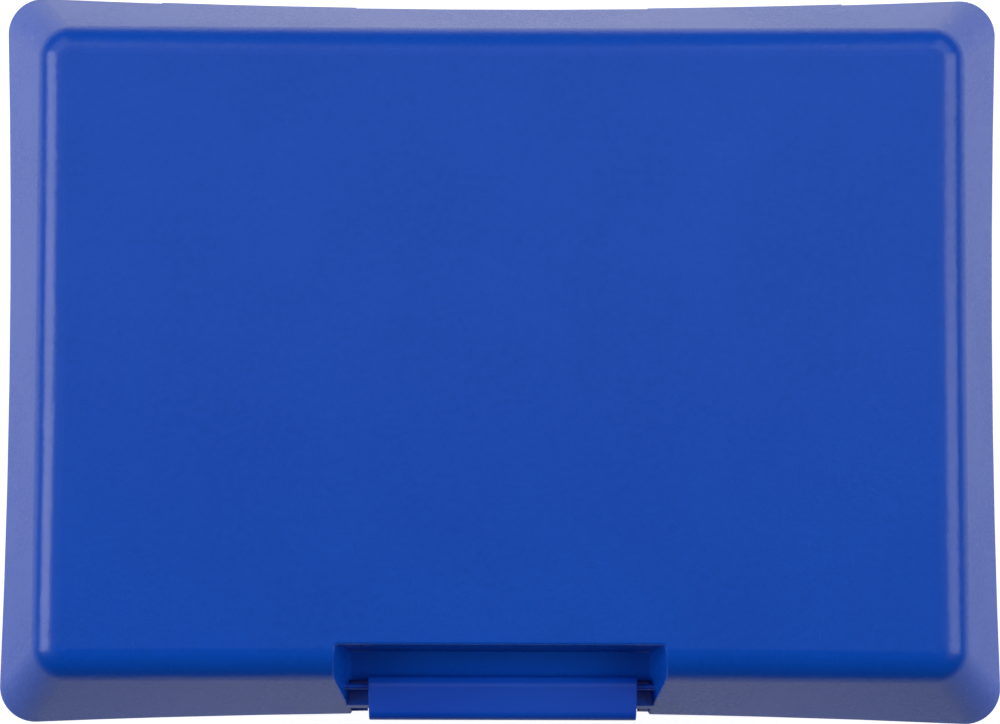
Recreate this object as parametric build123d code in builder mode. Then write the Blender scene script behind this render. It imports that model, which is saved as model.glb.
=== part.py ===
"""Bento lunch box: hinged lid with a front clip over a drafted tub, with a lift-out food tray inside.

Millimetres. +Z is up, +X to the right, -Y is the front with the clip, +Y the back with the hinge.
The origin is on the resting plane, under the middle of the box.
"""

import os
from math import cos, radians, sin, sqrt

from build123d import *

os.makedirs("parts", exist_ok=True)

# ---------------------------------------------------------------- driving dimensions
TOP_Z = 60.0  # top of the lid, the overall height
RIM_Z = 41.5  # lower edge of the lid skirt

# lid outline at its lower edge: corner half sizes, how far each side dips in at its middle, corner radius
RIM_HALF_X, RIM_HALF_Y = 90.06, 65.88
RIM_DIP_X, RIM_DIP_Y = 1.2, 2.1
RIM_DIP_BACK = 2.05
RIM_RADIUS = 6.4
# lid outline where the skirt would meet the flat top
TOP_HALF_X, TOP_HALF_Y = 80.72, 56.4
TOP_RADIUS = 5.2
TOP_EDGE_RADIUS = 6.2  # rolled edge round the flat top
LID_WALL = 1.9

# clip recess in the lid front
RECESS_BACK_TOP_Y, RECESS_BACK_LOW_Y = -51.55, -52.75
RECESS_SHELF_Z = 50.0  # at the foot of the back wall
RECESS_SHELF_FRONT_Y, RECESS_SHELF_FRONT_Z = -57.9, 46.7
RECESS_STEP_Z = 45.3  # lower step, over the seal
RECESS_STEP_FRONT_Y = -62.95
CHANNEL_COVER_Z = 44.5  # top of the ring over the seal channel
RECESS_HALF = 26.8  # half width at the back of the shelf
RECESS_DRAFT, RECESS_FLARE = 0.22, 0.153  # outward run per mm up, and per mm forward
RECESS_CORNER = 0.5
RECESS_EDGE = 0.5  # rounding of the notch's outer edges

# clip
CLIP_LEFT_X, CLIP_RIGHT_X = -23.45, 24.35  # the clip has a little side play on its pins
CLIP_AXIS_Y, CLIP_AXIS_Z = -59.05, 48.5
CLIP_BARREL_R = 1.9
CLIP_PIN_R = 0.5
CLIP_PIN_REACH = 4.5  # how far each stub pin runs into the clip
CLIP_THICK = 1.6
CLIP_FRONT_Y, CLIP_LOW_Z = -64.92, 36.0
CLIP_FRONT_R = 1.5  # rounding between the flat top and the front
CLIP_INNER_Y = -63.25
CLIP_HOOK_HALF, CLIP_HOOK_Y = 21.4, -62.85
CLIP_RUNNING = 0.05  # radial clearance of the clip on its pins

# tub
TUB_TOP_Z = 41.6
TUB_HALF_X, TUB_HALF_Y = 85.7, 61.0  # corner half sizes at TUB_TOP_Z
TUB_DIP_X, TUB_DIP_Y = 0.8, 1.0
TUB_RADIUS = 5.6
TUB_DRAFT = 0.122  # inward run per mm of height
TUB_WALL = 2.0
TUB_FLOOR = 2.2
TUB_BASE_RADIUS = 5.0
FOOT_HEIGHT = 1.2
FOOT_INSET, FOOT_WIDTH = 9.0, 2.4
FLANGE_LOW_Z, FLANGE_TOP_Z = 39.4, 41.1
FLANGE_INSET = 0.45
FLANGE_BACK_Y = 62.9
CATCH_HALF_X, CATCH_Y = 24.2, -62.52  # the flange is set back behind the clip

# seal channel between the lid skirt and the rib that hangs inside the tub
CHANNEL_ROOF_Z = 43.3
CHANNEL_OUT = 0.3  # outside the tub wall
RIB_CLEARANCE = 0.7  # inside the tub wall
RIB_WALL = 1.4
RIB_LOW_Z = 40.6
SEAL_GAP = 0.1

# back hinge
HINGE_Y, HINGE_Z = 62.35, 38.7
HINGE_R = 2.2
HINGE_PIN_R = 1.0
HINGE_RUNNING = 0.05
HINGE_IN, HINGE_OUT = 26.6, 62.0  # each knuckle group, measured from the middle
HINGE_KNUCKLES = 5
HINGE_GAP = 0.3
HOOD_Z = 40.9  # the skirt runs a little lower over each knuckle group
POCKET_Y = 59.6

# tray
TRAY_TOP_Z = 39.8
TRAY_CLEARANCE = 0.7
TRAY_WALL = 1.6
TRAY_RADIUS = 6.4
TRAY_SPLIT_X, TRAY_SPLIT_Y = 18.0, 4.0
DIVIDER_X = -28.0
DIVIDER_THICK = 1.6
DIVIDER_TOP_Z = 35.6

# dip cup
CUP_X, CUP_Y = 48.5, -24.0
CUP_FOOT_R, CUP_MOUTH_R = 17.5, 20.5
CUP_HEIGHT = 24.0
CUP_WALL = 1.3


# ---------------------------------------------------------------- outlines
def outline(half_x, half_y, dip_x, dip_y, radius, dip_back=None):
    """Rounded four-sided outline whose sides dip in towards their middles."""
    dip_back = dip_y if dip_back is None else dip_back
    with BuildSketch() as face:
        with BuildLine():
            for x0, y0, xm, ym, x1, y1 in (
                (-half_x, -half_y, 0, -half_y + dip_y, half_x, -half_y),
                (half_x, -half_y, half_x - dip_x, 0, half_x, half_y),
                (half_x, half_y, 0, half_y - dip_back, -half_x, half_y),
                (-half_x, half_y, -half_x + dip_x, 0, -half_x, -half_y),
            ):
                if dip_x and dip_y:
                    ThreePointArc((x0, y0), (xm, ym), (x1, y1))
                else:
                    Line((x0, y0), (x1, y1))
        make_face()
        fillet(face.vertices(), radius)
    return face.sketch


def lid_outline(z, inset):
    """The lid skirt's section at height z, moved in by inset."""
    t = (z - RIM_Z) / (TOP_Z - RIM_Z)
    return outline(
        RIM_HALF_X + t * (TOP_HALF_X - RIM_HALF_X) - inset,
        RIM_HALF_Y + t * (TOP_HALF_Y - RIM_HALF_Y) - inset,
        max(0.02, RIM_DIP_X * (1 - t)),
        max(0.02, RIM_DIP_Y * (1 - t)),
        max(1.5, RIM_RADIUS + t * (TOP_RADIUS - RIM_RADIUS) - inset),
        max(0.02, RIM_DIP_BACK * (1 - t)),
    )


def tub_outline(z, inset, radius=None):
    """The tub wall's section at height z, moved in by inset."""
    run = TUB_DRAFT * (TUB_TOP_Z - z) + inset
    return outline(
        TUB_HALF_X - run,
        TUB_HALF_Y - run,
        TUB_DIP_X,
        TUB_DIP_Y,
        radius if radius else max(1.5, TUB_RADIUS - inset),
    )


def tub_outer_y(x, z):
    """Back face of the tub wall at x and z."""
    half_x, half_y = TUB_HALF_X, TUB_HALF_Y - TUB_DRAFT * (TUB_TOP_Z - z)
    return half_y - TUB_DIP_Y * (1 - (x / half_x) ** 2)


# ---------------------------------------------------------------- lid
with BuildPart() as lid_outer:
    with BuildSketch(Plane.XY.offset(HOOD_Z)):
        add(lid_outline(HOOD_Z, 0))
    with BuildSketch(Plane.XY.offset(TOP_Z)):
        add(lid_outline(TOP_Z, 0))
    loft(ruled=True)
    fillet(lid_outer.faces().sort_by(Axis.Z)[-1].edges(), TOP_EDGE_RADIUS)
    # lower edge at RIM_Z, all but over the two knuckle groups
    with BuildSketch(Plane.XY.offset(HOOD_Z - 1)):
        Rectangle(200, 160)
        with Locations((-(HINGE_IN + HINGE_OUT) / 2, 61.2 + 5), ((HINGE_IN + HINGE_OUT) / 2, 61.2 + 5)):
            Rectangle(HINGE_OUT - HINGE_IN, 10, mode=Mode.SUBTRACT)
    extrude(amount=RIM_Z - HOOD_Z + 1, mode=Mode.SUBTRACT)
    for s in (-1, 1):
        with BuildSketch(Plane.YZ.offset(s * (HINGE_IN - 1))):
            with Locations((HINGE_Y, HINGE_Z)):
                Circle(HINGE_R + 0.35)
        extrude(amount=s * (HINGE_OUT - HINGE_IN + 2), mode=Mode.SUBTRACT)

LID_INSET = LID_WALL * 1.09  # the wall measured level, on a steep skirt

with BuildPart() as lid_void:
    # inside of the skirt and the top
    with BuildSketch(Plane.XY.offset(RIM_Z - 1)):
        add(lid_outline(RIM_Z - 1, LID_INSET))
    with BuildSketch(Plane.XY.offset(TOP_Z - LID_WALL)):
        add(lid_outline(TOP_Z - LID_WALL, LID_INSET))
    loft(ruled=True)
    fillet(lid_void.faces().sort_by(Axis.Z)[-1].edges(), 2.8)
    # roof of the seal channel
    with BuildSketch(Plane.XY.offset(CHANNEL_ROOF_Z)):
        add(tub_outline(TUB_TOP_Z, -4, 9.6))
        add(tub_outline(TUB_TOP_Z, TUB_WALL + RIB_CLEARANCE + RIB_WALL), mode=Mode.SUBTRACT)
    extrude(amount=CHANNEL_COVER_Z - CHANNEL_ROOF_Z, mode=Mode.SUBTRACT)
    # rib that hangs inside the tub wall and holds the seal from within
    with BuildSketch(Plane.XY.offset(RIB_LOW_Z)):
        add(tub_outline(TUB_TOP_Z, TUB_WALL + RIB_CLEARANCE))
        add(tub_outline(TUB_TOP_Z, TUB_WALL + RIB_CLEARANCE + RIB_WALL), mode=Mode.SUBTRACT)
    extrude(amount=CHANNEL_ROOF_Z + 0.5 - RIB_LOW_Z, mode=Mode.SUBTRACT)
    # wall round the clip recess
    with BuildSketch(Plane.YZ):
        with BuildLine():
            Polyline(
                (RECESS_BACK_TOP_Y + LID_WALL + 0.2, TOP_Z + 3),
                (RECESS_BACK_LOW_Y + LID_WALL, RECESS_SHELF_Z - LID_WALL),
                (-56.6, 44.7),
                (-56.6, CHANNEL_ROOF_Z - 0.7),
                (-60.8, CHANNEL_ROOF_Z - 0.7),
                (-60.8, RIM_Z - 3),
                (-75, RIM_Z - 3),
                (-75, TOP_Z + 3),
                close=True,
            )
        make_face()
    extrude(amount=RECESS_HALF + 4.9, both=True, mode=Mode.SUBTRACT)



def recess_half(y, z):
    """Half width of the clip recess at y and z."""
    return RECESS_HALF + RECESS_DRAFT * (z - RECESS_SHELF_Z) + RECESS_FLARE * (RECESS_BACK_LOW_Y - y)


# space of the clip recess: a profile along X, narrowed by the drafted and flared side walls
with BuildPart() as recess:
    for y in (-45, -75):
        with BuildSketch(Plane.XZ.offset(-y)):
            with BuildLine():
                Polyline(
                    (-recess_half(y, RIM_Z - 2), RIM_Z - 2),
                    (recess_half(y, RIM_Z - 2), RIM_Z - 2),
                    (recess_half(y, TOP_Z + 2), TOP_Z + 2),
                    (-recess_half(y, TOP_Z + 2), TOP_Z + 2),
                    close=True,
                )
            make_face()
    loft(ruled=True)
    with BuildSketch(Plane.YZ):
        with BuildLine():
            Polyline(
                (RECESS_BACK_TOP_Y + 0.24, TOP_Z + 2),
                (RECESS_BACK_LOW_Y, RECESS_SHELF_Z),
                (RECESS_SHELF_FRONT_Y, RECESS_SHELF_FRONT_Z),
                (RECESS_SHELF_FRONT_Y, RECESS_STEP_Z),
                (RECESS_STEP_FRONT_Y, RECESS_STEP_Z),
                (RECESS_STEP_FRONT_Y, RIM_Z - 2),
                (-75, RIM_Z - 2),
                (-75, TOP_Z + 2),
                close=True,
            )
        make_face()
    extrude(amount=40, both=True, mode=Mode.INTERSECT)
    # round the upright corners behind the clip and the foot of the walls round the shelf
    back_corners = recess.edges().filter_by(
        lambda e: e.center().Y > -54 and abs(e.center().X) > 25 and e.center().Z > 52
    )
    shelf = recess.faces().filter_by(
        lambda f: f.normal_at().Z < -0.7 and f.normal_at().Y > 0.3 and f.center().Y > -57
    )[0]
    walls_foot = shelf.edges().filter_by(lambda e: e.center().Y > RECESS_SHELF_FRONT_Y + 0.1)
    fillet(back_corners + walls_foot, RECESS_CORNER)

# the notched outside of the lid, with the notch's outer edges rounded
with BuildPart() as lid_notched:
    add(lid_outer.part)
    add(recess.part, mode=Mode.SUBTRACT)
    skin = lid_outer.faces()
    notch_edges = lid_notched.edges().filter_by(
        lambda e: e.center().Y < -50
        and abs(e.center().X) < 31
        and e.center().Z > RIM_Z + 0.1
        and (abs(e.center().X) > 20 or e.center().Y > -58)
        and min(f.distance_to(e @ 0.5) for f in skin) < 0.002
    )
    fillet(notch_edges, RECESS_EDGE)

# seal channel cut up into the front wall under the recess
with BuildPart() as channel:
    with BuildSketch(Plane.XY.offset(RIM_Z - 3)):
        add(tub_outline(TUB_TOP_Z, -CHANNEL_OUT))
        add(tub_outline(TUB_TOP_Z, TUB_WALL + RIB_CLEARANCE), mode=Mode.SUBTRACT)
    extrude(amount=CHANNEL_ROOF_Z - RIM_Z + 3)

# knuckle positions along each group, from the middle of the box outwards
knuckle_w = (HINGE_OUT - HINGE_IN - (HINGE_KNUCKLES - 1) * HINGE_GAP) / HINGE_KNUCKLES
knuckles = [
    HINGE_IN + i * (knuckle_w + HINGE_GAP) + knuckle_w / 2 for i in range(HINGE_KNUCKLES)
]
base_knuckles = [s * x for x in knuckles[0::2] for s in (-1, 1)]
lid_knuckles = [s * x for x in knuckles[1::2] for s in (-1, 1)]

with BuildPart() as lid:
    add(lid_notched.part)
    add(lid_void.part, mode=Mode.SUBTRACT)
    add(channel.part, mode=Mode.SUBTRACT)
    # knuckles under the back rim
    for x in lid_knuckles:
        with BuildSketch(Plane.YZ.offset(x - knuckle_w / 2)):
            with BuildLine():
                Polyline(
                    (HINGE_Y - 1.05, HINGE_Z),
                    (HINGE_Y + HINGE_R, HINGE_Z),
                    (HINGE_Y + 1.35, RIM_Z + 0.5),
                    (HINGE_Y - 1.05, RIM_Z + 0.5),
                    close=True,
                )
            make_face()
            with Locations((HINGE_Y, HINGE_Z)):
                Circle(HINGE_R)
        extrude(amount=knuckle_w)
    with BuildSketch(Plane.YZ):
        with Locations((HINGE_Y, HINGE_Z)):
            Circle(HINGE_PIN_R + HINGE_RUNNING)
    extrude(amount=70, both=True, mode=Mode.SUBTRACT)
    # seats for the clip's stub pins in the recess side walls
    with BuildSketch(Plane.YZ):
        with Locations((CLIP_AXIS_Y, CLIP_AXIS_Z)):
            Circle(CLIP_PIN_R)
    extrude(amount=30, both=True, mode=Mode.SUBTRACT)
lid.part.label = "lid_shell"
export_step(lid.part, "parts/lid_shell.step")

# ---------------------------------------------------------------- clip and its stub pins
top_z = CLIP_AXIS_Z + CLIP_BARREL_R
clip_mid = (CLIP_LEFT_X + CLIP_RIGHT_X) / 2
with BuildPart() as clip:
    with BuildSketch(Plane.YZ.offset(CLIP_LEFT_X)) as section:
        with BuildLine():
            Polyline(
                (CLIP_AXIS_Y, top_z),
                (CLIP_AXIS_Y, top_z - CLIP_THICK - 0.9),
                (CLIP_INNER_Y + 0.9, top_z - CLIP_THICK - 0.35),
                (CLIP_INNER_Y, top_z - CLIP_THICK - 1.25),
                (CLIP_INNER_Y, CLIP_LOW_Z + 0.5),
                (CLIP_INNER_Y - 0.35, CLIP_LOW_Z),
                (CLIP_FRONT_Y + 0.45, CLIP_LOW_Z),
                (CLIP_FRONT_Y + 0.1, CLIP_LOW_Z + 0.45),
                (CLIP_FRONT_Y, top_z - CLIP_FRONT_R),
            )
            RadiusArc(
                (CLIP_FRONT_Y, top_z - CLIP_FRONT_R), (CLIP_FRONT_Y + CLIP_FRONT_R, top_z), CLIP_FRONT_R
            )
            Line((CLIP_FRONT_Y + CLIP_FRONT_R, top_z), (CLIP_AXIS_Y, top_z))
        make_face()
        with Locations((CLIP_AXIS_Y, CLIP_AXIS_Z)):
            Circle(CLIP_BARREL_R)
    extrude(amount=CLIP_RIGHT_X - CLIP_LEFT_X)
    # the ends are drawn in a little towards the lip
    with BuildSketch(Plane.XY.offset(CLIP_LOW_Z - 1)):
        with BuildLine():
            Polyline(
                (CLIP_LEFT_X, -57),
                (CLIP_LEFT_X + 0.25, CLIP_FRONT_Y - 0.2),
                (CLIP_RIGHT_X - 0.25, CLIP_FRONT_Y - 0.2),
                (CLIP_RIGHT_X, -57),
                close=True,
            )
        make_face()
    extrude(amount=20, mode=Mode.INTERSECT)
    chamfer(clip.faces().sort_by(Axis.X)[0].edges() + clip.faces().sort_by(Axis.X)[-1].edges(), 0.15)
    # hook along the middle of the plate
    with BuildSketch(Plane.YZ.offset(clip_mid - CLIP_HOOK_HALF)):
        with BuildLine():
            Polyline(
                (CLIP_INNER_Y - 0.5, 39.1),
                (CLIP_HOOK_Y, 38.95),
                (CLIP_HOOK_Y - 0.1, 38.2),
                (CLIP_INNER_Y - 0.5, 36.9),
                close=True,
            )
        make_face()
    extrude(amount=2 * CLIP_HOOK_HALF)
    with BuildSketch(Plane.YZ.offset(CLIP_LEFT_X - 1)):
        with Locations((CLIP_AXIS_Y, CLIP_AXIS_Z)):
            Circle(CLIP_PIN_R + CLIP_RUNNING)
    extrude(amount=50, mode=Mode.SUBTRACT)
clip.part.label = "latch_clip"
export_step(clip.part, "parts/latch_clip.step")

with BuildPart() as clip_pins:
    for s in (-1, 1):
        with BuildSketch(Plane.YZ.offset(s * (24 - CLIP_PIN_REACH))):
            with Locations((CLIP_AXIS_Y, CLIP_AXIS_Z)):
                Circle(CLIP_PIN_R)
        extrude(amount=s * (30 - 24 + CLIP_PIN_REACH))
    chamfer(clip_pins.faces().filter_by(Axis.X).edges(), 0.15)
clip_pins.part.label = "latch_pins"
export_step(clip_pins.part, "parts/latch_pins.step")

# ---------------------------------------------------------------- seal
with BuildPart() as seal:
    with BuildSketch(Plane.XY.offset(TUB_TOP_Z + SEAL_GAP)):
        add(tub_outline(TUB_TOP_Z, -0.1))
        add(tub_outline(TUB_TOP_Z, TUB_WALL + RIB_CLEARANCE), mode=Mode.SUBTRACT)
    extrude(amount=CHANNEL_ROOF_Z - TUB_TOP_Z - SEAL_GAP)
    chamfer(seal.faces().sort_by(Axis.Z)[0].edges(), 0.45)
seal.part.label = "lid_seal"
export_step(seal.part, "parts/lid_seal.step")

# ---------------------------------------------------------------- tub
with BuildPart() as tub_outer:
    with BuildSketch(Plane.XY.offset(FOOT_HEIGHT)):
        add(tub_outline(FOOT_HEIGHT, 0))
    with BuildSketch(Plane.XY.offset(TUB_TOP_Z)):
        add(tub_outline(TUB_TOP_Z, 0))
    loft(ruled=True)
    fillet(tub_outer.faces().sort_by(Axis.Z)[0].edges(), TUB_BASE_RADIUS)

tub_floor_z = FOOT_HEIGHT + TUB_FLOOR
with BuildPart() as tub_void:
    with BuildSketch(Plane.XY.offset(tub_floor_z)):
        add(tub_outline(tub_floor_z, TUB_WALL))
    with BuildSketch(Plane.XY.offset(TUB_TOP_Z + 2)):
        add(tub_outline(TUB_TOP_Z + 2, TUB_WALL))
    loft(ruled=True)
    fillet(tub_void.faces().sort_by(Axis.Z)[0].edges(), TUB_BASE_RADIUS - TUB_WALL)

with BuildPart() as flange:
    with BuildSketch(Plane.XY.offset(FLANGE_LOW_Z)):
        add(lid_outline(RIM_Z, FLANGE_INSET))
        with Locations((0, FLANGE_BACK_Y + 10)):
            Rectangle(200, 20, mode=Mode.SUBTRACT)
        with Locations(((CLIP_LEFT_X + CLIP_RIGHT_X) / 2, CATCH_Y - 10)):
            Rectangle(2 * CATCH_HALF_X, 20, mode=Mode.SUBTRACT)
    extrude(amount=FLANGE_TOP_Z - FLANGE_LOW_Z)
    fillet(flange.faces().sort_by(Axis.Z)[-1].edges(), 0.6)
    fillet(flange.faces().sort_by(Axis.Z)[0].edges(), 0.4)
    with BuildSketch(Plane.XY.offset(FLANGE_LOW_Z - 1)):
        add(tub_outline(FLANGE_LOW_Z, TUB_WALL / 2))
    extrude(amount=FLANGE_TOP_Z - FLANGE_LOW_Z + 2, mode=Mode.SUBTRACT)

with BuildPart() as tub:
    add(tub_outer.part)
    add(tub_void.part, mode=Mode.SUBTRACT)
    # rounded top of the rim wall
    rim_edges = tub.edges().filter_by(lambda e: e.center().Z > TUB_TOP_Z - 0.01)
    fillet(rim_edges, 0.35)
    add(flange.part)
    # hinge pockets behind the back wall
    with BuildSketch(Plane.XY.offset(HINGE_Z - HINGE_R - 0.5)):
        with Locations(
            (-(HINGE_IN + HINGE_OUT) / 2, POCKET_Y + 10), ((HINGE_IN + HINGE_OUT) / 2, POCKET_Y + 10)
        ):
            Rectangle(HINGE_OUT - HINGE_IN + 1.0, 20)
    extrude(amount=FLANGE_TOP_Z + 0.2 - (HINGE_Z - HINGE_R - 0.5), mode=Mode.SUBTRACT)
    # knuckles, each a tongue from the wall
    for x in base_knuckles:
        with BuildSketch(Plane.YZ.offset(x - knuckle_w / 2)):
            with Locations((HINGE_Y, HINGE_Z)):
                Circle(HINGE_R)
            with BuildLine():
                Polyline(
                    (POCKET_Y - 1.0, HINGE_Z - HINGE_R),
                    (HINGE_Y, HINGE_Z - HINGE_R),
                    (HINGE_Y, HINGE_Z + HINGE_R),
                    (POCKET_Y - 1.0, HINGE_Z + HINGE_R),
                    close=True,
                )
            make_face()
        extrude(amount=knuckle_w)
    # pin bores
    with BuildSketch(Plane.YZ):
        with Locations((HINGE_Y, HINGE_Z)):
            Circle(HINGE_PIN_R)
    extrude(amount=70, both=True, mode=Mode.SUBTRACT)
    # foot ring under the floor
    with BuildSketch(Plane.XY):
        add(tub_outline(0, FOOT_INSET, 8))
        add(tub_outline(0, FOOT_INSET + FOOT_WIDTH, 6), mode=Mode.SUBTRACT)
    extrude(amount=FOOT_HEIGHT + 0.2)
tub.part.label = "base_shell"
export_step(tub.part, "parts/base_shell.step")

with BuildPart() as hinge_pins:
    for s in (-1, 1):
        with BuildSketch(Plane.YZ.offset(s * (HINGE_IN + 0.4))):
            with Locations((HINGE_Y, HINGE_Z)):
                Circle(HINGE_PIN_R)
        extrude(amount=s * (HINGE_OUT - HINGE_IN - 0.8))
    chamfer(hinge_pins.faces().filter_by(Axis.X).edges(), 0.25)
hinge_pins.part.label = "hinge_pins"
export_step(hinge_pins.part, "parts/hinge_pins.step")

# ---------------------------------------------------------------- tray
tray_inset = TUB_WALL + TRAY_CLEARANCE
tray_floor_z = tub_floor_z + TRAY_WALL


def tray_space(x0, x1, y0, y1):
    """Inside of one compartment, between the given limits."""
    with BuildPart() as space:
        with BuildSketch(Plane.XY.offset(tray_floor_z)):
            add(tub_outline(tray_floor_z, tray_inset + TRAY_WALL, TRAY_RADIUS - TRAY_WALL))
        with BuildSketch(Plane.XY.offset(TRAY_TOP_Z + 2)):
            add(tub_outline(TRAY_TOP_Z + 2, tray_inset + TRAY_WALL, TRAY_RADIUS - TRAY_WALL))
        loft(ruled=True)
        with BuildSketch(Plane.XY.offset(tray_floor_z)):
            with Locations(((x0 + x1) / 2, (y0 + y1) / 2)):
                Rectangle(x1 - x0, y1 - y0)
        extrude(amount=TRAY_TOP_Z + 2 - tray_floor_z, mode=Mode.INTERSECT)
        uprights = space.edges().filter_by(
            lambda e: abs(e.bounding_box().size.Z) > 30
            and (
                min(abs(e.center().X - x0), abs(e.center().X - x1)) < 0.3
                or min(abs(e.center().Y - y0), abs(e.center().Y - y1)) < 0.3
            )
        )
        fillet(uprights, 3.0)
        fillet(space.faces().sort_by(Axis.Z)[0].edges(), 2.6)
    return space.part


half_wall = TRAY_WALL / 2
with BuildPart() as tray:
    with BuildSketch(Plane.XY.offset(tub_floor_z)):
        add(tub_outline(tub_floor_z, tray_inset, TRAY_RADIUS))
    with BuildSketch(Plane.XY.offset(TRAY_TOP_Z)):
        add(tub_outline(TRAY_TOP_Z, tray_inset, TRAY_RADIUS))
    loft(ruled=True)
    fillet(tray.faces().sort_by(Axis.Z)[0].edges(), 4.2)
    add(tray_space(-100, TRAY_SPLIT_X - half_wall, -100, 100), mode=Mode.SUBTRACT)
    add(tray_space(TRAY_SPLIT_X + half_wall, 100, -100, TRAY_SPLIT_Y - half_wall), mode=Mode.SUBTRACT)
    add(tray_space(TRAY_SPLIT_X + half_wall, 100, TRAY_SPLIT_Y + half_wall, 100), mode=Mode.SUBTRACT)

with BuildPart() as guides:
    # pairs of upright ribs that hold the loose divider
    for s in (-1, 1):
        for d in (-1, 1):
            with BuildSketch(Plane.XY.offset(tray_floor_z - 0.5)):
                with Locations((DIVIDER_X + d * (DIVIDER_THICK / 2 + 0.15 + 0.6), s * 54.5)):
                    Rectangle(1.2, 9.0)
            extrude(amount=DIVIDER_TOP_Z + 0.5 - tray_floor_z + 0.5)
    with BuildSketch(Plane.XY.offset(tub_floor_z)):
        add(tub_outline(tub_floor_z, tray_inset + 0.6, TRAY_RADIUS))
    with BuildSketch(Plane.XY.offset(TRAY_TOP_Z)):
        add(tub_outline(TRAY_TOP_Z, tray_inset + 0.6, TRAY_RADIUS))
    loft(ruled=True, mode=Mode.INTERSECT)
with BuildPart() as tray_done:
    add(tray.part)
    add(guides.part)
tray_done.part.label = "food_tray"
export_step(tray_done.part, "parts/food_tray.step")


def tray_inner_y(x, z):
    """Inner face of the tray's back wall."""
    return tub_outer_y(x, z) - tray_inset - TRAY_WALL


with BuildPart() as divider:
    low_y = tray_inner_y(DIVIDER_X, tray_floor_z) - 0.5
    high_y = tray_inner_y(DIVIDER_X, DIVIDER_TOP_Z) - 0.5
    with BuildSketch(Plane.YZ.offset(DIVIDER_X - DIVIDER_THICK / 2)) as plate:
        with BuildLine():
            Polyline(
                (-low_y, tray_floor_z),
                (low_y, tray_floor_z),
                (high_y, DIVIDER_TOP_Z),
                (-high_y, DIVIDER_TOP_Z),
                close=True,
            )
        make_face()
        fillet(plate.vertices(), 3.4)
        with Locations((0, DIVIDER_TOP_Z + 9)):
            Circle(15, mode=Mode.SUBTRACT)
    extrude(amount=DIVIDER_THICK)
divider.part.label = "tray_divider"
export_step(divider.part, "parts/tray_divider.step")

# ---------------------------------------------------------------- dip cup and its lid
cup_z = tray_floor_z
with BuildPart() as cup:
    with BuildSketch(Plane.XZ.offset(-CUP_Y)) as wall:
        with BuildLine():
            Polyline(
                (CUP_X, cup_z),
                (CUP_X + CUP_FOOT_R, cup_z),
                (CUP_X + CUP_MOUTH_R, cup_z + CUP_HEIGHT - 2.2),
                (CUP_X + CUP_MOUTH_R + 1.1, cup_z + CUP_HEIGHT - 2.2),
                (CUP_X + CUP_MOUTH_R + 1.1, cup_z + CUP_HEIGHT),
                (CUP_X + CUP_MOUTH_R - CUP_WALL, cup_z + CUP_HEIGHT),
                (CUP_X + CUP_FOOT_R - CUP_WALL, cup_z + CUP_WALL),
                (CUP_X, cup_z + CUP_WALL),
                close=True,
            )
        make_face()
        fillet(
            wall.vertices().filter_by(lambda v: abs(v.X - CUP_X - CUP_FOOT_R) < 0.05 and v.Z < cup_z + 1),
            1.6,
        )
    revolve(axis=Axis((CUP_X, CUP_Y, 0), (0, 0, 1)))
cup.part.label = "sauce_cup"
export_step(cup.part, "parts/sauce_cup.step")

lid_r = CUP_MOUTH_R + 1.1
with BuildPart() as cup_lid:
    with BuildSketch(Plane.XZ.offset(-CUP_Y)):
        with BuildLine():
            Polyline(
                (CUP_X, cup_z + CUP_HEIGHT - 0.8),
                (CUP_X + CUP_MOUTH_R - CUP_WALL - 1.8, cup_z + CUP_HEIGHT - 0.8),
                (CUP_X + CUP_MOUTH_R - CUP_WALL - 1.3, cup_z + CUP_HEIGHT),
                (CUP_X + lid_r + 0.2, cup_z + CUP_HEIGHT),
                (CUP_X + lid_r + 0.2, cup_z + CUP_HEIGHT - 2.9),
                (CUP_X + lid_r + 1.3, cup_z + CUP_HEIGHT - 2.9),
                (CUP_X + lid_r + 1.3, cup_z + CUP_HEIGHT + 0.7),
                (CUP_X + lid_r + 0.7, cup_z + CUP_HEIGHT + 1.2),
                (CUP_X + CUP_MOUTH_R - CUP_WALL - 2.0, cup_z + CUP_HEIGHT + 1.2),
                (CUP_X + CUP_MOUTH_R - CUP_WALL - 2.6, cup_z + CUP_HEIGHT + 0.4),
                (CUP_X, cup_z + CUP_HEIGHT + 0.4),
                close=True,
            )
        make_face()
    revolve(axis=Axis((CUP_X, CUP_Y, 0), (0, 0, 1)))
    # pull tab
    with BuildSketch(Plane.XY.offset(cup_z + CUP_HEIGHT)):
        with Locations((CUP_X - lid_r * 0.76, CUP_Y + lid_r * 0.76)):
            Circle(3.6)
    extrude(amount=1.1)
cup_lid.part.label = "sauce_cup_lid"
export_step(cup_lid.part, "parts/sauce_cup_lid.step")
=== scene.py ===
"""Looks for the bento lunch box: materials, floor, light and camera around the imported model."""

import math

import bpy
import bmesh
from mathutils import Matrix, Vector

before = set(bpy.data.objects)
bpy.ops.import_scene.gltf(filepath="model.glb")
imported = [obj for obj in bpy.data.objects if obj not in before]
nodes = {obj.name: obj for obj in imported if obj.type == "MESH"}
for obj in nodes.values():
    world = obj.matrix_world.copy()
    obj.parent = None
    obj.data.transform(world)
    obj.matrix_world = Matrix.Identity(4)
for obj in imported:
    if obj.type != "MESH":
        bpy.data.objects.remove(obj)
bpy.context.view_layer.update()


MM = 0.001


# ---------------------------------------------------------------- material building
def new_material(name):
    m = bpy.data.materials.new(name)
    m.use_nodes = True
    nt = m.node_tree
    nt.nodes.clear()
    return m, nt


def node(nt, kind, x=0, y=0, **props):
    n = nt.nodes.new(kind)
    n.location = (x, y)
    for k, v in props.items():
        setattr(n, k, v)
    return n


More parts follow.
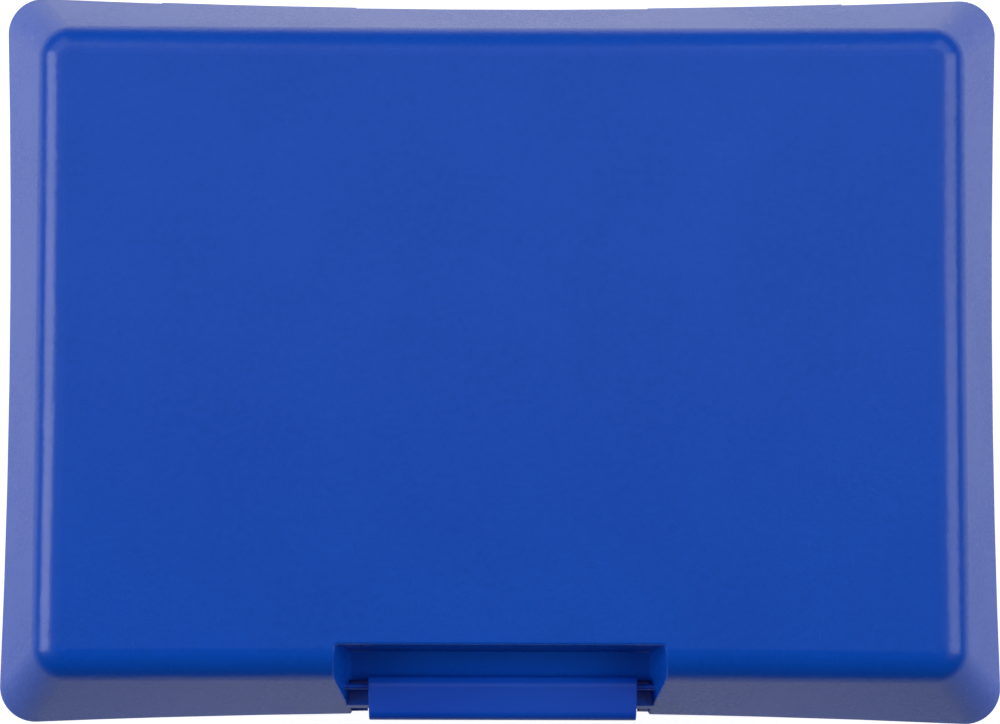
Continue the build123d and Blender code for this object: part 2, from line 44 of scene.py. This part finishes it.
def noise(nt, coords, scale, detail=2.0, rough=0.5, distortion=0.0):
    n = node(nt, "ShaderNodeTexNoise")
    n.inputs["Scale"].default_value = scale
    n.inputs["Detail"].default_value = detail
    n.inputs["Roughness"].default_value = rough
    n.inputs["Distortion"].default_value = distortion
    nt.links.new(coords, n.inputs["Vector"])
    return n.outputs["Fac"]


def remap(nt, value, a0, a1, b0, b1, clamp=True):
    n = node(nt, "ShaderNodeMapRange", clamp=clamp)
    n.inputs["From Min"].default_value = a0
    n.inputs["From Max"].default_value = a1
    n.inputs["To Min"].default_value = b0
    n.inputs["To Max"].default_value = b1
    nt.links.new(value, n.inputs["Value"])
    return n.outputs["Result"]


def math_node(nt, op, a, b=None):
    n = node(nt, "ShaderNodeMath", operation=op)
    for i, v in enumerate((a, b)):
        if v is None:
            continue
        if isinstance(v, (int, float)):
            n.inputs[i].default_value = v
        else:
            nt.links.new(v, n.inputs[i])
    return n.outputs[0]


def mix_colour(nt, fac, a, b):
    n = node(nt, "ShaderNodeMix", data_type="RGBA")
    for sock, v in ((n.inputs[0], fac), (n.inputs[6], a), (n.inputs[7], b)):
        if hasattr(v, "links"):
            nt.links.new(v, sock)
        elif isinstance(v, (int, float)):
            sock.default_value = v
        else:
            sock.default_value = (*v, 1.0)
    return n.outputs[2]


def moulded(
    name,
    colour,
    shade,
    roughness,
    grain=0.28,
    grain_depth=0.012,
    edge=None,
    spec=0.5,
    scuff=0.5,
    subsurface=0.0,
    alpha=1.0,
    transmission=0.0,
):
    """Injection-moulded plastic: spark-eroded grain, faint flow mottling, handling scuffs and softly worn edges.
    colour and shade are the two ends of the mottling, grain is the grain's size in mm."""
    m, nt = new_material(name)
    out = node(nt, "ShaderNodeOutputMaterial", 900, 0)
    bsdf = node(nt, "ShaderNodeBsdfPrincipled", 600, 0)
    nt.links.new(bsdf.outputs[0], out.inputs[0])
    co = node(nt, "ShaderNodeTexCoord").outputs["Object"]

    mottle = noise(nt, co, 38.0, 4.0, 0.55)
    fine = noise(nt, co, 1000.0 / (grain * 4.0), 2.0, 0.6)
    finer = noise(nt, co, 1000.0 / grain, 2.0, 0.7)
    scratch_map = node(nt, "ShaderNodeMapping")
    scratch_map.inputs["Scale"].default_value = (1.0, 0.12, 1.0)
    scratch_map.inputs["Rotation"].default_value = (0.0, 0.0, 0.6)
    nt.links.new(co, scratch_map.inputs["Vector"])
    scratches = noise(nt, scratch_map.outputs[0], 900.0, 3.0, 0.75)
    scratch_mask = noise(nt, co, 30.0, 2.0, 0.5)

    # colour: mottling and grain
    speck = math_node(nt, "ADD", remap(nt, fine, 0.25, 0.75, 0.0, 0.45), remap(nt, finer, 0.25, 0.75, 0.0, 0.35))
    tone = math_node(nt, "ADD", remap(nt, mottle, 0.3, 0.7, 0.0, 0.35), speck)
    base = mix_colour(nt, tone, colour, shade)
    geo = node(nt, "ShaderNodeNewGeometry")
    worn = remap(nt, geo.outputs["Pointiness"], 0.53, 0.62, 0.0, 1.0)
    worn = math_node(nt, "MULTIPLY", worn, remap(nt, scratch_mask, 0.35, 0.7, 0.15, 0.8))
    if edge is not None:
        base = mix_colour(nt, worn, base, edge)
    nt.links.new(base, bsdf.inputs["Base Color"])

    # roughness: grain, scuffed patches, fine scratches
    r = remap(nt, mottle, 0.3, 0.7, roughness - 0.03, roughness + 0.03)
    s = math_node(nt, "MULTIPLY", remap(nt, scratches, 0.56, 0.72, 0.0, 0.10 * scuff), remap(nt, scratch_mask, 0.45, 0.65, 0.2, 1.0))
    g = remap(nt, fine, 0.2, 0.8, -0.03, 0.03)
    r = math_node(nt, "ADD", math_node(nt, "ADD", r, s), g)
    nt.links.new(r, bsdf.inputs["Roughness"])

    # bump: two sizes of grain and a trace of the scratches
    height = math_node(nt, "ADD", math_node(nt, "MULTIPLY", fine, 0.7), math_node(nt, "MULTIPLY", finer, 0.5))
    height = math_node(nt, "SUBTRACT", height, math_node(nt, "MULTIPLY", s, 1.2))
    bump = node(nt, "ShaderNodeBump")
    bump.inputs["Strength"].default_value = 1.0
    bump.inputs["Distance"].default_value = grain_depth * MM
    nt.links.new(height, bump.inputs["Height"])
    nt.links.new(bump.outputs[0], bsdf.inputs["Normal"])

    bsdf.inputs["IOR"].default_value = 1.49
    bsdf.inputs["Specular IOR Level"].default_value = spec
    if subsurface:
        bsdf.inputs["Subsurface Weight"].default_value = subsurface
        bsdf.inputs["Subsurface Radius"].default_value = (0.6, 0.6, 0.6)
        bsdf.inputs["Subsurface Scale"].default_value = 0.002
    if transmission:
        bsdf.inputs["Transmission Weight"].default_value = transmission
    if alpha < 1.0:
        bsdf.inputs["Alpha"].default_value = alpha
    return m


def steel(name):
    """Drawn rod: fine rings along its length."""
    m, nt = new_material(name)
    out = node(nt, "ShaderNodeOutputMaterial", 900, 0)
    bsdf = node(nt, "ShaderNodeBsdfPrincipled", 600, 0)
    nt.links.new(bsdf.outputs[0], out.inputs[0])
    co = node(nt, "ShaderNodeTexCoord").outputs["Object"]
    mp = node(nt, "ShaderNodeMapping")
    mp.inputs["Scale"].default_value = (0.08, 1.0, 1.0)
    nt.links.new(co, mp.inputs["Vector"])
    lines = noise(nt, mp.outputs[0], 6000.0, 3.0, 0.6)
    patch = noise(nt, co, 400.0, 2.0, 0.5)
    nt.links.new(mix_colour(nt, remap(nt, patch, 0.3, 0.7, 0.0, 1.0), (0.58, 0.59, 0.61), (0.45, 0.46, 0.48)), bsdf.inputs["Base Color"])
    nt.links.new(remap(nt, lines, 0.3, 0.7, 0.22, 0.38), bsdf.inputs["Roughness"])
    bump = node(nt, "ShaderNodeBump")
    bump.inputs["Strength"].default_value = 1.0
    bump.inputs["Distance"].default_value = 0.004 * MM
    nt.links.new(lines, bump.inputs["Height"])
    nt.links.new(bump.outputs[0], bsdf.inputs["Normal"])
    bsdf.inputs["Metallic"].default_value = 1.0
    return m


BLUE = (0.0045, 0.0960, 0.658)
BLUE_DEEP = (0.0000, 0.0735, 0.545)
BLUE_WORN = (0.006, 0.112, 0.69)

blue = moulded("shell_blue_pp", BLUE, BLUE_DEEP, 0.26, grain=0.26, grain_depth=0.026, edge=BLUE_WORN)
# painted shade: the clip and pin blues are darker copies of the shell blue, standing in for the shade they sit in
# within the lid's recess
blue_clip_shaded = moulded("clip_blue_shaded_pp", (0.0006, 0.056, 0.54), (0.0005, 0.049, 0.49), 0.36, grain=0.26, grain_depth=0.010, edge=BLUE_WORN)
blue_pin_shaded = moulded("pin_blue_shaded_pp", (0.0006, 0.068, 0.52), (0.0005, 0.060, 0.47), 0.33, grain=0.25, grain_depth=0.004)
tray_white = moulded("tray_white_pp", (0.74, 0.76, 0.77), (0.70, 0.72, 0.735), 0.38, grain=0.35, grain_depth=0.010, subsurface=0.12)
green = moulded("divider_green_pp", (0.26, 0.50, 0.17), (0.23, 0.46, 0.15), 0.40, grain=0.30, grain_depth=0.010, edge=(0.36, 0.58, 0.26), subsurface=0.08)
milky = moulded("cup_milky_pp", (0.80, 0.83, 0.85), (0.76, 0.80, 0.83), 0.26, grain=0.45, grain_depth=0.006, transmission=0.55, subsurface=0.2)
silicone = moulded("seal_silicone", (0.60, 0.62, 0.64), (0.55, 0.57, 0.59), 0.52, grain=0.20, grain_depth=0.010, subsurface=0.3, spec=0.35)
rod = steel("hinge_steel")

for n, m in {
    "lid_shell": blue,
    "base_shell": blue,
    "latch_clip": blue_clip_shaded,
    "latch_pins": blue_pin_shaded,
    "lid_seal": silicone,
    "hinge_pins": rod,
    "food_tray": tray_white,
    "tray_divider": green,
    "sauce_cup": milky,
    "sauce_cup_lid": green,
}.items():
    data = nodes[n].data
    if not data.materials:
        data.materials.append(m)
    for i in range(len(data.materials)):
        data.materials[i] = m

# ---------------------------------------------------------------- floor
floor_mat, nt = new_material("studio_floor")
out = node(nt, "ShaderNodeOutputMaterial")
bsdf = node(nt, "ShaderNodeBsdfPrincipled")
nt.links.new(bsdf.outputs[0], out.inputs[0])
bsdf.inputs["Base Color"].default_value = (0.48, 0.48, 0.48, 1.0)
bsdf.inputs["Roughness"].default_value = 0.9
bsdf.inputs["Specular IOR Level"].default_value = 0.1
bsdf.inputs["Emission Color"].default_value = (1.0, 1.0, 1.0, 1.0)
# painted light: the floor's glow that the plastic mirrors is painted brighter at the back than at the front and fades
# away from the box, in place of the back lights' falloff; the visible rim of it is an even white
pos = node(nt, "ShaderNodeSeparateXYZ")
nt.links.new(node(nt, "ShaderNodeTexCoord").outputs["Object"], pos.inputs[0])
painted_reflected_glow = remap(nt, pos.outputs["Y"], -0.12, 0.12, 0.31, 0.62)
x2 = math_node(nt, "MULTIPLY", pos.outputs["X"], pos.outputs["X"])
y2 = math_node(nt, "MULTIPLY", math_node(nt, "MULTIPLY", pos.outputs["Y"], pos.outputs["Y"]), 1.69)
reach = math_node(nt, "SQRT", math_node(nt, "ADD", x2, y2))
painted_falloff = remap(nt, reach, 0.18, 0.55, 1.0, 0.08)
painted_reflected_glow = math_node(nt, "MULTIPLY", painted_reflected_glow, painted_falloff)
# painted shade: the floor's grey darkens away from the box with the same painted falloff
tone = math_node(nt, "MULTIPLY", painted_falloff, 0.46)
painted_shade_grey = node(nt, "ShaderNodeCombineColor")
for i in range(3):
    nt.links.new(tone, painted_shade_grey.inputs[i])
nt.links.new(painted_shade_grey.outputs[0], bsdf.inputs["Base Color"])
lp = node(nt, "ShaderNodeLightPath")
seen = math_node(nt, "MULTIPLY", lp.outputs["Is Camera Ray"], 0.89)
rest = math_node(nt, "MULTIPLY", math_node(nt, "SUBTRACT", 1.0, lp.outputs["Is Camera Ray"]), painted_reflected_glow)
nt.links.new(math_node(nt, "ADD", seen, rest), bsdf.inputs["Emission Strength"])
bm = bmesh.new()
profile = [(-2.5, 0.0), (-1.0, 0.0), (0.9, 0.0)]
profile += [(0.9 + 0.9 * math.sin(math.radians(t)), 0.9 - 0.9 * math.cos(math.radians(t))) for t in range(6, 91, 6)]
profile += [(1.8, 1.3)]
rows = [[bm.verts.new((x, y, z)) for x in (-2.5, -1.2, 0.0, 1.2, 2.5)] for y, z in profile]
for low, high in zip(rows, rows[1:]):
    for i in range(4):
        bm.faces.new((low[i], low[i + 1], high[i + 1], high[i])).smooth = True
mesh = bpy.data.meshes.new("studio_floor")
bm.to_mesh(mesh)
bm.free()
floor = bpy.data.objects.new("studio_floor", mesh)
bpy.context.scene.collection.objects.link(floor)
floor.location = (0, 0, -0.0001)
mesh.materials.append(floor_mat)


# ---------------------------------------------------------------- light
def area(name, pos, target, size_x, size_y, power, colour=(1, 1, 1)):
    light = bpy.data.lights.new(name, "AREA")
    light.shape = "RECTANGLE"
    light.size = size_x
    light.size_y = size_y
    light.energy = power
    light.color = colour
    o = bpy.data.objects.new(name, light)
    bpy.context.scene.collection.objects.link(o)
    o.location = pos
    d = Vector(target) - Vector(pos)
    o.rotation_euler = d.to_track_quat("-Z", "Y").to_euler()
    return o


area("left_box", (-1.17, 0.12, 0.62), (0, 0.02, 0.05), 0.68, 0.76, 5.8)
area("right_box", (1.13, 0.12, 0.71), (0, 0.02, 0.05), 0.68, 0.92, 4.5)
area("back_left_box", (-0.78, 0.98, 1.00), (0, 0.0, 0.05), 1.2, 0.9, 3.1)
area("back_right_box", (0.78, 0.98, 1.00), (0, 0.0, 0.05), 1.2, 0.9, 3.1)
area("top_box", (0, 0.62, 1.42), (0, 0.15, 0.05), 2.0, 1.3, 3.5)
# even side fill that the plastic hardly mirrors
for side, name in ((-1, "left_fill"), (1, "right_fill")):
    fill = area(name, (side * 1.0, -0.10, 0.95), (0, 0.0, 0.05), 0.9, 0.8, 2.8)
    fill.visible_glossy = False

world = bpy.data.worlds.new("studio")
bpy.context.scene.world = world
world.use_nodes = True
wn = world.node_tree
wn.nodes.clear()
wo = wn.nodes.new("ShaderNodeOutputWorld")
bg = wn.nodes.new("ShaderNodeBackground")
bg.inputs["Color"].default_value = (1, 1, 1, 1)
bg.inputs["Strength"].default_value = 0.02
wn.links.new(bg.outputs[0], wo.inputs[0])

# ---------------------------------------------------------------- camera
EL = math.radians(85.5)
ROLL = math.radians(0.145)
DIST = 0.64499
TARGET = Vector((-0.164 * MM, -1.418 * MM, 52.0 * MM))
back = Vector((0, -math.cos(EL), math.sin(EL)))
right = Vector((1, 0, 0))
up = back.cross(right)
right2 = right * math.cos(ROLL) + up * math.sin(ROLL)
up2 = -right * math.sin(ROLL) + up * math.cos(ROLL)
cam_data = bpy.data.cameras.new("camera")
cam_data.sensor_width = 36.0
cam_data.lens = 3623.98 / 1000.0 * 36.0
cam_data.clip_start = 0.01
cam_data.clip_end = 20.0
cam = bpy.data.objects.new("camera", cam_data)
bpy.context.scene.collection.objects.link(cam)
rot = Matrix((right2, up2, back)).transposed()
cam.matrix_world = Matrix.Translation(TARGET + back * DIST) @ rot.to_4x4()
bpy.context.scene.camera = cam
bpy.context.scene.view_settings.view_transform = "Standard"
